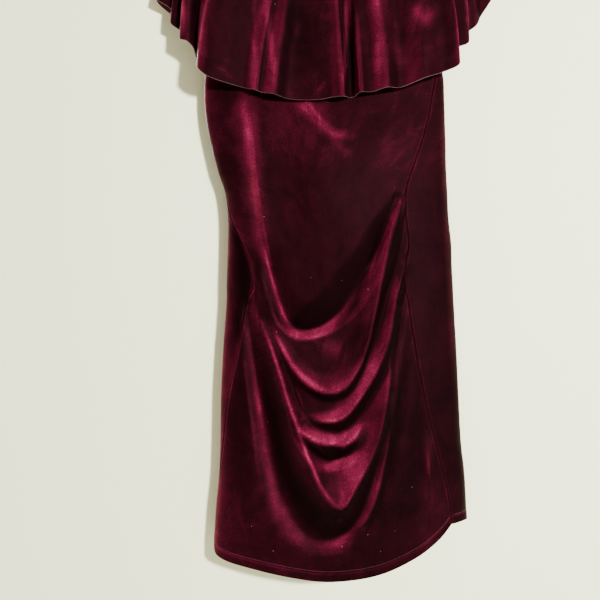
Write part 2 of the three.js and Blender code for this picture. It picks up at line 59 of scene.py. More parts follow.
NECK_HALF = 115
NECK_FRONT_DROP = 92
NECK_BACK_DROP = 25
NECK_FRONT_DEPTH = 25
NECK_BACK_DEPTH = 14
NECK_EDGE = 3
NECK_TURN = 6
SHOULDER_CLEAR = 2.6
SHOULDER_ROUND = HANGER_THICK / 2 + SHOULDER_CLEAR + CAD_CLOTH
SHOULDER_INSET = 0.05
ARMHOLE_INSET = 0.045
ARMHOLE_BOW = {"front": 12, "back": 4}
SIDE_ROUNDNESS = 0.7
SIDE_CALM = 0.4             # the folds die away where a panel faces less forward than this cosine
RING_LENGTH = 2.04          # a panel's width along the cloth, by its ring's half width and depth
UNDERARM = -308
UNDERARM_HALF = 200
SKIRT_TOP = -470

# The tube's sections from the underarm to the hem: outline, depths, and where the seams lie.
SECTION_COLUMNS = ("z", "left", "right", "front", "back", "seam_left", "seam_right")
SECTION_ROWS = (
    (-308, -200, 200, 26, 12, -200, 200),
    (-380, -199, 199, 28, 13, -199, 199),
    (-443, -211, 212, 31, 13, -211, 197),
    (-487, -212, 214, 34, 14, -212, 189),
    (-522, -209, 215, 39, 14, -209, 182),
    (-558, -202, 216, 43, 15, -202, 172),
    (-611, -189, 217, 46, 15, -189, 154),
    (-650, -176, 219, 47, 16, -176, 141),
    (-695, -171, 221, 48, 16, -164, 140),
    (-744, -171, 226, 48, 16, -142, 145),
    (-780, -172, 227, 48, 16, -127, 140),
    (-817, -173, 229, 48, 16, -123, 138),
    (-841, -173, 230, 48, 16, -133, 143),
    (-928, -179, 235, 48, 16, -150, 157),
    (-1014, -183, 239, 49, 16, -168, 174),
    (-1091, -184, 243, 51, 17, -177, 192),
    (-1146, -186, 249, 53, 18, -185, 207),
    (-1200, -191, 252, 56, 18, -191, 217),
    (-1260, -195, 255, 58, 18, -195, 222),
)
SECTIONS = {name: np.array([row[i] for row in SECTION_ROWS], float)
            for i, name in enumerate(SECTION_COLUMNS)}

# The hem's height across each panel, from the left seam (share 0) to the right seam (share 1).
FRONT_HEM = {
    "share": np.array([0, 0.05, 0.2, 0.38, 0.52, 0.7, 0.85, 0.95, 1]),
    "z": np.array([-1269, -1287, -1302, -1316, -1321, -1310, -1282, -1251, -1229], float),
}
BACK_HEM = {
    "share": np.array([0, 0.1, 0.5, 0.93, 1]),
    "z": np.array([-1269, -1262, -1246, -1226, -1229], float),
}

# The drape: each fold's name, its height, its widths on the upper and on the under side, each by
# even shares of its path, and the path across the front (x, z) from left to right. A fold of
# negative height is a crease.
FOLDS = (
    ("belly_flank", (5, 14, 0), (60, 60), (32, 30, 24),
     ((-134, -460), (-124, -560), (-110, -680), (-88, -790), (-66, -860))),
    ("belly_crease", (0, -12, -18, -12, -8, -3), (20, 30, 44, 44, 28, 14), (18, 14, 13, 26, 28, 14),
     ((-110, -735), (-95, -790), (-79, -844), (-65, -878), (-44, -893), (-14, -889), (18, -868),
      (50, -824), (80, -768), (104, -712), (126, -668))),
    ("upper_cowl", (0, 11, 14, 10, 13, 14, 3), (8, 16, 34, 50, 30, 18, 10), (8, 14, 12, 9, 16, 18, 10),
     ((-100, -876), (-76, -918), (-55, -956), (-30, -984), (0, -1000), (28, -996), (50, -970),
      (70, -925), (84, -870), (98, -800), (114, -730), (130, -675))),
    ("right_cowl", (0, 11, 16, 15, 12, 2), (6, 20, 36, 30, 18, 8), (8, 16, 18, 16, 12, 8),
     ((-44, -1036), (-22, -1044), (0, -1048), (24, -1047), (44, -1031), (68, -995), (90, -955),
      (108, -905), (118, -855), (129, -810), (137, -780))),
    ("lower_cowl", (0, 17, 15, 0), (5, 13, 17, 8), (8, 24, 24, 10),
     ((-54, -1050), (-37, -1065), (-14, -1079), (7, -1086), (31, -1087), (49, -1076), (70, -1045))),
    ("deep_cowl", (0, 28, 38, 24, 4), (8, 10, 68, 40, 12), (14, 30, 56, 22, 10),
     ((-122, -850), (-88, -933), (-61, -1011), (-34, -1086), (-6, -1158), (26, -1188),
      (56, -1148), (88, -1085), (104, -1010), (112, -935), (126, -860))),
    ("pocket", (-3, -12, -13, -10, 0), (12, 14, 12, 10), (8, 12, 12, 10),
     ((-76, -955), (-54, -1025), (-34, -1082), (2, -1116), (38, -1106), (66, -1072))),
    ("belly_gap", (0, -9, -2), (9, 9), (6, 6),
     ((74, -805), (90, -758), (108, -712))),
    ("trough", (-6, -15, -8, -12, -2), (12, 20, 50, 24, 12), (14, 16, 26, 18, 12),
     ((-134, -850), (-124, -930), (-112, -1020), (-92, -1125), (-60, -1210), (-12, -1252),
      (34, -1240), (72, -1170), (94, -1095), (112, -1000))),
    ("right_ridge", (0, 6, 8, 7, 3), (14, 18, 16), (14, 24, 22),
     ((17, -1292), (34, -1252), (72, -1208), (102, -1113), (119, -1000), (130, -920), (134, -870))),
    ("hem_ridge", (0, 5, 0), (14, 14), (14, 14),
     ((180, -1067), (178, -1113), (184, -1181))),
    ("top_ridge", (2, 6, 0), (16, 18), (14, 12),
     ((-46, -474), (-26, -505), (0, -536), (34, -550))),
)
BELLY = {"x": -8, "z": -650, "wide": 105, "high": 125, "height": 16}

# Painted highlights and painted shade, partly pressed pile too, each mark a stroke over the cloth:
# how much paler it is (darker, a painted shade, if negative), its half width, and its path (x, z).
# One table for each piece of cloth.
FRONT_MARKS = (
    (0.34, 13, ((-140, -480), (-131, -545), (-124, -600), (-118, -670), (-110, -735), (-102, -775))),
    (0.20, 7, ((-108, -740), (-97, -785), (-78, -852), (-60, -890))),
    (-0.16, 4, ((-134, -475), (-124, -560), (-110, -680), (-98, -745))),
    (-0.14, 3.5, ((-118, -770), (-113, -790), (-102, -824), (-91, -854), (-76, -876))),
    (0.36, 8, ((-46, -492), (-26, -520), (-6, -541), (14, -555), (44, -560))),
    (0.14, 8, ((8, -556), (26, -580), (44, -596))),
    (0.05, 18, ((124, -480), (106, -590), (76, -640))),
    (-0.16, 9, ((112, -716), (88, -772), (60, -832), (28, -878), (-4, -898))),
    (0.06, 9, ((112, -745), (100, -800), (86, -850), (70, -900), (50, -950))),
    (-0.11, 20, ((124, -690), (116, -790), (100, -870), (78, -940))),
    (0.28, 5, ((-137, -875), (-131, -920), (-122, -985), (-108, -1060))),
    (0.28, 10, ((-126, -960), (-117, -1010), (-105, -1085), (-91, -1160), (-76, -1235))),
    (0.16, 12, ((-72, -1190), (-54, -1236), (-30, -1256))),
    (0.10, 11, ((17, -1292), (31, -1262), (64, -1222), (84, -1175), (96, -1110))),
    (0.16, 6, ((134, -890), (126, -960), (112, -1040))),
    (0.07, 10, ((182, -1060), (178, -1113), (186, -1200))),
    (0.34, 2.4, ((-100, -897), (-76, -968), (-61, -1018), (-37, -1084), (-20, -1124), (-2, -1160),
                 (24, -1187))),
    (0.30, 2.6, ((-104, -750), (-95, -790), (-79, -844), (-65, -878), (-48, -896))),
    (0.34, 5.5, ((-84, -900), (-58, -946), (-34, -974), (0, -996), (16, -1000))),
    (0.14, 9, ((-10, -1036), (20, -1032), (46, -1012), (70, -975), (92, -925))),
    (0.14, 2.2, ((-20, -1044), (8, -1047), (34, -1038), (66, -998))),
    (0.16, 2.2, ((-46, -1058), (-24, -1072), (2, -1082), (24, -1084))),
    (0.19, 16, ((-6, -916), (30, -930))),
    (-0.20, 22, ((-114, -930), (-96, -1020), (-72, -1115), (-38, -1185), (2, -1222), (40, -1208),
                 (78, -1120))),
    (-0.10, 30, ((110, -1250), (150, -1130), (160, -1000))),
    (-0.07, 34, ((-160, -960), (-162, -1080), (-150, -1200))),
)
BACK_MARKS = (
    (0.14, 5, ((209, -480), (209, -560), (214, -720), (228, -1000))),
    (0.32, 2.5, ((214, -470), (216, -560), (224, -720), (238, -1000), (248, -1140), (255, -1255))),
    (-0.20, 16, ((-158, -690), (-146, -760), (-140, -860), (-158, -930))),
    (-0.06, 36, ((170, -560), (175, -900), (225, -1200))),
    (0.24, 11, ((-112, -470), (-116, -640), (-108, -860), (-98, -1160))),
    (0.20, 13, ((66, -440), (74, -700), (78, -930), (92, -1190))),
    (0.16, 9, ((118, -620), (104, -820), (112, -1040))),
    (0.14, 10, ((-58, -560), (-44, -600), (-12, -618), (24, -606))),
    (-0.10, 16, ((-24, -460), (-26, -760), (-18, -1120))),
)
FLOUNCE_BACK_MARKS = (
    (0.22, 9, ((-92, -190), (-108, -290), (-118, -400))),
    (0.20, 11, ((84, -180), (98, -280), (110, -395))),
    (0.16, 7, ((0, -200), (3, -310), (2, -415))),
    (0.18, 8, ((-176, -180), (-200, -270), (-214, -350))),
    (0.18, 8, ((180, -170), (204, -270), (212, -352))),
)
FLOUNCE_MARKS = (
    (0.14, 5, ((-121, -300), (-121, -481))),
    (0.19, 6, ((-104, -300), (-93, -400), (-82, -474))),
    (0.26, 4, ((38, -300), (36, -400), (29, -491))),
    (0.24, 9, ((86, -300), (90, -400), (93, -478))),
    (0.28, 12, ((150, -336), (172, -360), (186, -340))),
    (0.10, 10, ((120, -382), (130, -444))),
    (0.14, 4, ((227, -340), (227, -437))),
    (0.18, 8, ((-213, -320), (-209, -444))),
    (0.12, 4, ((-190, -440), (-155, -462))),
    (0.12, 4, ((-44, -360), (-49, -393))),
    (0.14, 3, ((2, -467), (-15, -487))),
    (0.22, 5, ((-247, -320), (-241, -383))),
    (0.18, 6, ((250, -310), (250, -369))),
    (-0.10, 22, ((-52, -320), (-40, -470))),
    (-0.35, 5, ((51, -300), (48, -400), (46, -492))),
    (-0.25, 3, ((-222, -400), (-221, -440))),
)

BACK_FOLDS = ((-110, 4, 34), (-20, -3, 40), (70, 4, 36), (165, 3, 26))   # x, height, width

# The flounce's hem: a point for each ridge, valley and turned edge, from left to right.
FLOUNCE_FRONT_HEM = (
    (-300, 0, -303), (-297, -9, -309), (-264, -5, -332), (-270, -18, -354), (-248, -17, -371),
    (-251, -35, -388), (-237, -43, -395), (-227, -38, -404), (-223, -22, -420), (-221, -40, -436),
    (-217, -57, -446), (-199, -62, -461),
    (-160, -52, -472), (-136, -46, -477), (-118, -59, -484), (-107, -55, -487), (-88, -66, -492),
    (-62, -52, -497), (-12, -54, -499), (12, -58, -496), (30, -68, -497), (39, -56, -495),
    (42, -43, -493), (51, -43, -491), (54, -54, -490), (61, -65, -489), (80, -56, -486),
    (104, -68, -482), (130, -51, -477), (169, -62, -464), (203, -53, -451), (230, -58, -438),
    (217, -38, -409), (249, -38, -396), (252, -20, -372), (268, -18, -358), (278, -8, -338),
    (297, -9, -309), (300, 0, -303),
)
FLOUNCE_BACK_HEM = (
    (-300, 0, -303), (-296, 9, -310), (-262, 17, -336), (-214, 23, -372), (-165, 18, -398),
    (-112, 24, -417), (-58, 18, -428), (0, 24, -433), (56, 18, -428), (110, 24, -416),
    (163, 18, -397), (212, 23, -371), (262, 17, -336), (296, 9, -310), (300, 0, -303),
)
FLOUNCE_OVER = 4
FLOUNCE_NECK_BACK = 19
FLOUNCE_NECK_WIDER = 1.02
FLOUNCE_SHOULDER = (165, -99, 0.4)      # x, z, forward
FLOUNCE_FALL = (262, -110, 0.9)
FLOUNCE_SPREAD = 3

HEM_BAND = 24               # the closely spaced rows along the dress's hem
HEM_ROWS = 16
SEAM_BAND = 0.008           # the closely spaced columns along each seam, as a share of the width
SEAM_COLUMNS = 3
HEM_TURNED = 16             # the hem's edge is turned up by this much, and stitched there
HEM_GROOVE = 0.45           # how deep the stitches pull the cloth in
HEM_GROOVE_HALF = 1.2       # and how wide that groove is, to one side
HEM_DOUBLE = 0.35           # how much prouder the doubled cloth below them lies
HEM_DOUBLE_STEP = 3         # the height over which it comes forward
STITCH = {"length": 2.5, "step": 3.4, "thick": 0.5, "proud": 0.15}
STITCH_RINGS = ((0.0, 0.3), (0.12, 0.8), (0.5, 1.0), (0.88, 0.8), (1.0, 0.3))   # share, girth
STITCH_SIDES = 6
LINT_SEED = 7
LINT = {"long": (0.5, 1.1), "wide": (0.25, 0.4), "lift": 0.1, "top": 0.55, "root": 0.2}
LINT_MARGIN = (5, 20)       # the rows and columns at the cloth's edges that stay free of it
FLOUNCE_EDGE = 0.4          # the strip of bare backing along the flounce's raw edge
FLOUNCE_LONG = 400          # about how long its cloth is from the neck to the hem

# Where the front's side seams are gathered: top, bottom, and the puckers' height.
GATHERS = {"left": (-780, -915, 0.5), "right": (-630, -930, 0.45)}
GATHER_REACH = 26           # how far from the seam the puckers die away
GATHER_FADE = 20            # and over what height they start and end
GATHER_SLANT = 3.5          # how much the puckers run down away from the seam
GATHER_WAVES = ((34.0, 0.0, 0.4), (57.0, 1.3, 0.4), (93.0, 2.1, 0.4))   # length, phase, share

# How finely each cloth is divided: columns, then rows of skirt, waist, armhole and shoulder.
FRONT_GRID = (166, (222, 20, 14, 6))
BACK_GRID = (130, (180, 20, 20, 8))
FLOUNCE_FRONT_GRID = (420, 70)
FLOUNCE_BACK_GRID = (200, 50)


# ---- small tools -------------------------------------------------------------------------------

def mix(a, b, share):
    return a + (b - a) * share


def smooth(low, high, value):
    share = np.clip((value - low) / (high - low), 0, 1)
    return share * share * (3 - 2 * share)


def look_up(table, along, place, name):
    """One column of a table at places along another, on a smooth curve through its rows."""
    keys, values = table[along], table[name]
    if keys[0] > keys[-1]:
        keys, values = keys[::-1], values[::-1]
    slopes = np.empty(len(keys))
    slopes[1:-1] = (values[2:] - values[:-2]) / (keys[2:] - keys[:-2])
    slopes[0] = (values[1] - values[0]) / (keys[1] - keys[0])
    slopes[-1] = (values[-1] - values[-2]) / (keys[-1] - keys[-2])
    place = np.clip(place, keys[0], keys[-1])
    row = np.clip(np.searchsorted(keys, place) - 1, 0, len(keys) - 2)
    step = keys[row + 1] - keys[row]
    t = (place - keys[row]) / step
    return ((2 * t ** 3 - 3 * t ** 2 + 1) * values[row] + (t ** 3 - 2 * t ** 2 + t) * step * slopes[row]
            + (3 * t ** 2 - 2 * t ** 3) * values[row + 1] + (t ** 3 - t ** 2) * step * slopes[row + 1])


def curve_points(corners, shares):
    """Points of a centripetal Catmull-Rom curve through the corners, evenly by corner number."""
    corners = np.array(corners, float)
    ends = np.vstack([2 * corners[:1] - corners[1:2], corners, 2 * corners[-1:] - corners[-2:-1]])
    place = np.clip(np.asarray(shares, float), 0, 1) * (len(corners) - 1)
    row = np.clip(place.astype(int), 0, len(corners) - 2)
    t = (place - row)[:, None]
    p0, p1, p2, p3 = (ends[row + i] for i in range(4))
    d0, d1, d2 = (np.maximum(np.linalg.norm(b - a, axis=1), 1e-6)[:, None] ** 0.5
                  for a, b in ((p0, p1), (p1, p2), (p2, p3)))
    t1 = ((p1 - p0) / d0 - (p2 - p0) / (d0 + d1) + (p2 - p1) / d1) * d1
    t2 = ((p2 - p1) / d1 - (p3 - p1) / (d1 + d2) + (p3 - p2) / d2) * d1
    return p1 + t1 * t + (3 * (p2 - p1) - 2 * t1 - t2) * t ** 2 + (2 * (p1 - p2) + t1 + t2) * t ** 3


def evenly(points, count):
    """The same line with its points spaced evenly by length."""
    lengths = np.concatenate([[0], np.cumsum(np.linalg.norm(np.diff(points, axis=0), axis=1))])
    targets = np.linspace(0, lengths[-1], count + 1)
    return np.stack([np.interp(targets, lengths, points[:, i]) for i in range(points.shape[1])], 1)


# ---- the drape ---------------------------------------------------------------------------------

FOLD_SAMPLES = 60
MARK_SAMPLES = 12
MARK_ENDS = (0.25, 0.2)     # a mark's strength at its ends, and the share of it that they take
FOLD_ROUND = 3              # how softly the cloth bends over a fold's edge
FOLD_BLEND = (10, 26)       # how far from a fold's path its two arms start to blend, and then do
FOLD_FALL = 1.5             # the curve of a fold's flank
NEAR_POWER = 8              # how much more the nearest stretch of a path counts
NEAR_SUM = 0.98             # what a straight path adds up to with that power, a millimetre away


def along_fold(values, along):
    """A value along a fold, smoothly from each of the evenly spaced values to the next."""
    place = along * (len(values) - 1)
    row = np.clip(place.astype(int), 0, len(values) - 2)
    values = np.array(values, float)
    return mix(values[row], values[row + 1], smooth(0, 1, place - row))


def to_stretches(line, x, z):
    """For each stretch of a line: where it is nearest to each place, how far away, and its side."""
    for a, b in zip(line[:-1], line[1:]):
        d = b - a
        share = np.clip(((x - a[0]) * d[0] + (z - a[1]) * d[1]) / (d @ d), 0, 1)
        off_x = x - a[0] - share * d[0]
        off_z = z - a[1] - share * d[1]
        yield share, np.hypot(off_x, off_z), d[0] * off_z - d[1] * off_x


def fold_lift(fold, x, z):
    """How far a fold lifts the cloth, steepest beside its edge. Away from its path every stretch
    of it counts, the nearer the more, so that two arms' slopes meet softly."""
    _, heights, upper, under, path = fold
    line = evenly(curve_points(path, np.linspace(0, 1, 400)), FOLD_SAMPLES)
    shares = np.linspace(0, 1, FOLD_SAMPLES + 1)
    columns = [along_fold(values, shares) for values in (heights, upper, under)]
    sums = [np.zeros(x.shape) for _ in columns]
    weights = np.zeros(x.shape)
    nearest = np.full(x.shape, np.inf)
    above = np.zeros(x.shape, bool)
    for i, (share, distance, side) in enumerate(to_stretches(line, x, z)):
        closer = distance < nearest
        nearest = np.where(closer, distance, nearest)
        above = np.where(closer, side > 0, above)
        weight = np.maximum(distance, 1) ** -float(NEAR_POWER)
        weights += weight
        for total, column in zip(sums, columns):
            total += weight * mix(column[i], column[i + 1], share)
    soft = (weights * np.linalg.norm(line[1] - line[0]) / NEAR_SUM) ** (-1 / (NEAR_POWER - 1))
    away = mix(nearest, soft, smooth(*FOLD_BLEND, nearest))
    height, upper, under = (total / weights for total in sums)
    off = (np.hypot(away, FOLD_ROUND) - FOLD_ROUND) / np.where(above, upper, under)
    return height * np.maximum(0, 1 - off) ** FOLD_FALL


def front_lift(x, z):
    lift = BELLY["height"] * np.exp(-((x - BELLY["x"]) / BELLY["wide"]) ** 2
                                    - ((z - BELLY["z"]) / BELLY["high"]) ** 2)
    for fold in FOLDS:
        lift = lift + fold_lift(fold, x, z)
    return lift


def back_lift(x, z):
    grown = smooth(UNDERARM, SECTION_ROWS[-1][0], z)
    return sum(grown * height * np.exp(-((x - at) / wide) ** 2) for at, height, wide in BACK_FOLDS)


# ---- the tube of the dress ---------------------------------------------------------------------

RING_SAMPLES = 96


def section_at(z):
    section = {name: look_up(SECTIONS, "z", z, name) for name in SECTION_COLUMNS[1:]}
    section["half"] = (section["right"] - section["left"]) / 2
    section["middle"] = (section["right"] + section["left"]) / 2
    for seam in ("seam_left", "seam_right"):
        sine = (section[seam] - section["middle"]) / section["half"]
        section[seam + "_angle"] = np.arcsin(np.clip(sine, -1, 1))
    return section


def section_depth(section, angle):
    ahead = np.cos(angle)
    depth = np.abs(ahead) ** SIDE_ROUNDNESS
    return np.where(ahead > 0, section["front"] * depth, -section["back"] * depth)


def angle_at_share(section, start, end, share):
    steps = np.linspace(0, 1, RING_SAMPLES + 1)
    angles = start[..., None] + (end - start)[..., None] * steps
    wide = {name: section[name][..., None] for name in ("half", "front", "back")}
    x = wide["half"] * np.sin(angles)
    y = section_depth(wide, angles)
    pieces = np.hypot(np.diff(x, axis=-1), np.diff(y, axis=-1))
    lengths = np.concatenate([np.zeros(x.shape[:-1] + (1,)), np.cumsum(pieces, axis=-1)], axis=-1)
    target = share * lengths[..., -1]
    spot = np.clip((lengths < target[..., None]).sum(axis=-1) - 1, 0, RING_SAMPLES - 1)
    low = np.take_along_axis(lengths, spot[..., None], -1)[..., 0]
    high = np.take_along_axis(lengths, spot[..., None] + 1, -1)[..., 0]
    return mix(start, end, (spot + (target - low) / (high - low)) / RING_SAMPLES)


def tube_points(panel, across, z):
    section = section_at(z)
    start = section["seam_left_angle"]
    end = section["seam_right_angle"] - (0 if panel == "front" else 2 * np.pi)
    length = RING_LENGTH * (section["half"] + (section["front"] + section["back"]) / 2)
    trim = SEAM_OPEN / 2 / length
    angle = angle_at_share(section, start, end, mix(trim, 1 - trim, across))
    x = section["middle"] + section["half"] * np.sin(angle)
    away = smooth(0, SIDE_CALM, np.abs(np.cos(angle)))
    lift = np.where(np.cos(angle) > 0, front_lift(x, z), -back_lift(x, z))
    return np.stack([x, -section_depth(section, angle) - away * lift, z], axis=-1)


def bar_top(x):
    return HANGER_PEAK - HANGER_DROP * (np.abs(x) / HANGER_HALF) ** HANGER_CURVE


def shoulder_top(x):
    return bar_top(x) + SHOULDER_CLEAR + CAD_CLOTH


def yoke_points(panel, across, up):
    """Above the underarm: up to 1 below the shoulder's turn, then over the hanger's bar."""
    side = -1 if panel == "front" else 1
    foot = tube_points(panel, across, np.full(across.shape, float(UNDERARM)))
    foot_x, foot_y = foot[..., 0], foot[..., 1]
    out = np.abs(foot_x / UNDERARM_HALF) ** 3
    top_x = foot_x * (1 - SHOULDER_INSET * out)
    inside = np.maximum(0, 1 - (top_x / NECK_HALF) ** 2)
    drop = NECK_FRONT_DROP if panel == "front" else NECK_BACK_DROP
    neck_z = shoulder_top(NECK_HALF) - drop * inside
    neck_depth = NECK_FRONT_DEPTH if panel == "front" else NECK_BACK_DEPTH
    depth = np.maximum(SHOULDER_ROUND, neck_depth * inside ** 0.25)
    on_shoulder = smooth(NECK_HALF, NECK_HALF + NECK_TURN, np.abs(top_x))
    top_z = mix(neck_z - NECK_EDGE, shoulder_top(top_x) - SHOULDER_ROUND, on_shoulder)
    top_y = side * mix(depth, SHOULDER_ROUND, on_shoulder)
    rise = np.minimum(up, 1)
    inset = SHOULDER_INSET * rise + ARMHOLE_INSET * np.sin(np.pi * rise)
    bow = ARMHOLE_BOW[panel] * np.sin(np.pi * rise) * out
    low = np.stack([foot_x * (1 - inset * out), mix(foot_y, top_y, smooth(0, 1, rise)) + side * bow,
                    mix(UNDERARM, top_z, rise)], axis=-1)
    turn = np.maximum(up - 1, 0) * np.pi / 2
    seam = SEAM_OPEN / 2
    over_y = side * (seam + (SHOULDER_ROUND - seam) * np.cos(turn))
    over_z = top_z + mix(NECK_EDGE * (up - 1), SHOULDER_ROUND * np.sin(turn), on_shoulder)
    high = np.stack([top_x, mix(top_y, over_y, on_shoulder), over_z], axis=-1)
    return np.where((up <= 1)[..., None], low, high)


def dress_grid(panel, grid):
    """The outer face of one panel, a row for each height from the hem to the shoulder."""
    columns, spans = grid
    edge = np.linspace(0, SEAM_BAND, SEAM_COLUMNS + 1)
    inside = np.linspace(SEAM_BAND, 1 - SEAM_BAND, columns + 1)
    across = np.concatenate([edge[:-1], inside, 1 - edge[-2::-1]])
    band = HEM_BAND / (SKIRT_TOP - BACK_HEM["z"].min())
    levels = [np.linspace(0, band, HEM_ROWS + 1)]
    for index, rows in enumerate(spans):
        levels.append(np.linspace(index if index else band, index + 1, rows + 1)[1:])
    up, share = np.meshgrid(np.concatenate(levels), across, indexing="ij")
    hem = look_up(FRONT_HEM if panel == "front" else BACK_HEM, "share", share, "z")
    z = np.where(up <= 1, mix(hem, SKIRT_TOP, up), mix(SKIRT_TOP, UNDERARM, np.clip(up - 1, 0, 1)))
    tube = tube_points(panel, share, z)
    yoke = yoke_points(panel, share, np.maximum(up - 2, 0))
    return np.where((up <= 2)[..., None], tube, yoke)


# ---- the flounce -------------------------------------------------------------------------------

def flounce_grid(panel, corners, grid):
    """The outer face of one half, a row for each distance from the hem up to the neckline. Each
    line of it is one Bezier curve, which passes over the shoulder where it starts at the side."""
    side = -1 if panel == "front" else 1
    along = np.linspace(0, 1, grid[0] + 1)
    down = np.concatenate([[1], np.linspace(1 - FLOUNCE_EDGE / FLOUNCE_LONG, 0, grid[1] + 1)])
    dense = np.linspace(0, 1, 600)
    line = curve_points(corners, dense)
    lengths = np.concatenate([[0], np.cumsum(np.linalg.norm(np.diff(line, axis=0), axis=1))])
    turn = (np.interp(along, dense, lengths) / lengths[-1] - 0.5) * np.pi
    inside = np.maximum(0, np.cos(turn))
    depth = NECK_FRONT_DEPTH + FLOUNCE_OVER + CAD_CLOTH if panel == "front" else FLOUNCE_NECK_BACK
    drop = NECK_FRONT_DROP if panel == "front" else NECK_BACK_DROP
    neck = np.stack([NECK_HALF * FLOUNCE_NECK_WIDER * np.sin(turn), side * depth * np.sqrt(inside),
                     shoulder_top(NECK_HALF) + FLOUNCE_OVER - drop * inside ** 2], axis=-1)
    end = curve_points(corners, along)
    over = (np.abs(np.sin(turn)) ** FLOUNCE_SPREAD)[:, None]
    outward = np.sign(turn)
    x, z, forward = FLOUNCE_SHOULDER
    shoulder = np.stack([outward * x, mix(neck[:, 1], end[:, 1], forward), np.full(turn.shape, z)], -1)
    x, z, forward = FLOUNCE_FALL
    fall = np.stack([outward * x, end[:, 1] * forward, np.full(turn.shape, z)], -1)
    first = mix(mix(neck, end, 1 / 3), shoulder, over)
    second = mix(mix(neck, end, 2 / 3), fall, over)
    t = down[:, None, None]
    points = (neck * (1 - t) ** 3 + first * 3 * (1 - t) ** 2 * t
              + second * 3 * (1 - t) * t ** 2 + end * t ** 3)
    edge = np.minimum(along, 1 - along)
    points[..., 1] += side * SEAM_OPEN / 2 * np.maximum(0, 1 - edge * 100)
    return points


# ---- from a grid to a cloth shell --------------------------------------------------------------

def face_normals(grid, outward):
    """The way each point of the cloth faces. outward is -1 where the columns run the other way."""
    across = np.gradient(grid, axis=1)
    up = np.gradient(grid, axis=0)
    normals = np.cross(across, up)
    normals /= np.maximum(np.linalg.norm(normals, axis=-1, keepdims=True), 1e-9)
    return normals * outward


def cloth_lengths(grid):
    """How far each point lies along the cloth, across and up, in metres."""
    across = np.linalg.norm(np.diff(grid, axis=1), axis=-1).cumsum(axis=1)
    up = np.linalg.norm(np.diff(grid, axis=0), axis=-1).cumsum(axis=0)
    u = np.pad(across, ((0, 0), (1, 0)))
    v = np.pad(up, ((1, 0), (0, 0)))
    u = u - u[:, u.shape[1] // 2][:, None]
    return u * MM, v * MM


# Painted light and shade by the way the cloth faces: paler facing up and to the left (painted
# highlight), darker facing down and to the right (painted shade), and paler along a ridge (painted
# highlight). How pale it is at rest, what facing that way or the other way adds, and what a ridge
# adds by its bend per millimetre. Each has its start and its full value.
PAINTED_LIGHT_REST = 0.15
PAINTED_LIGHT_SLANT = (-0.45, 0.89)
PAINTED_HIGHLIGHT_FACING = (0.46, 0.03, 0.70)
PAINTED_SHADE_FACING = (-0.26, 0.02, 0.45)
PAINTED_RIDGE_HIGHLIGHT = (0.18, 0.02, 0.11)
SEAM_PLAIN = (0.2, 5)       # a ridge's share of that at a seam, and how far from it the share grows


def painted_light_and_pressed_pile(grid, normals, marks):
    """How pale the pile is painted at each point of the cloth: painted light and shade by the way it
    faces, a painted highlight along its ridges, and the marks' painted highlights and shade, partly
    pressed pile.
    """
    # painted light and shade: paler where the cloth faces up and to the left, darker where it faces
    # down and to the right
    tilt = normals[..., 0] * PAINTED_LIGHT_SLANT[0] + normals[..., 2] * PAINTED_LIGHT_SLANT[1]
    painted_light_and_crush = np.full(grid.shape[:2], PAINTED_LIGHT_REST)
    for (amount, start, full), value in ((PAINTED_HIGHLIGHT_FACING, tilt), (PAINTED_SHADE_FACING, -tilt)):
        painted_light_and_crush = painted_light_and_crush + amount * smooth(start, full, value)
    # painted highlight along the ridges, by how sharply the cloth bends, less of it near the seams
    bend = 0
    for axis in (0, 1):
        step = np.gradient(grid, axis=axis)
        turn = np.gradient(normals, axis=axis)
        bend = bend + (step * turn).sum(-1) / np.maximum((step * step).sum(-1), 1e-6)
    u, _ = cloth_lengths(grid)
    from_seam = np.minimum(u - u[:, :1], u[:, -1:] - u) / MM
    amount, start, full = PAINTED_RIDGE_HIGHLIGHT
    kept = mix(SEAM_PLAIN[0], 1, smooth(0, SEAM_PLAIN[1], from_seam))
    painted_light_and_crush = painted_light_and_crush + amount * kept * smooth(start, full, bend)
    # the marks: painted highlights and painted shade, partly pressed pile
    for strength, half, path in marks:
        line = evenly(curve_points(path, np.linspace(0, 1, 60)), MARK_SAMPLES)
        nearest = np.full(painted_light_and_crush.shape, np.inf)
        along = np.zeros(painted_light_and_crush.shape)
        for i, (share, distance, _) in enumerate(to_stretches(line, grid[..., 0], grid[..., 2])):
            along = np.where(distance < nearest, (i + share) / MARK_SAMPLES, along)
            nearest = np.minimum(nearest, distance)
        ends = mix(MARK_ENDS[0], 1, smooth(0, MARK_ENDS[1], np.minimum(along, 1 - along)))
        painted_light_and_crush = painted_light_and_crush + strength * ends * np.exp(-(nearest / half) ** 2)
    return painted_light_and_crush


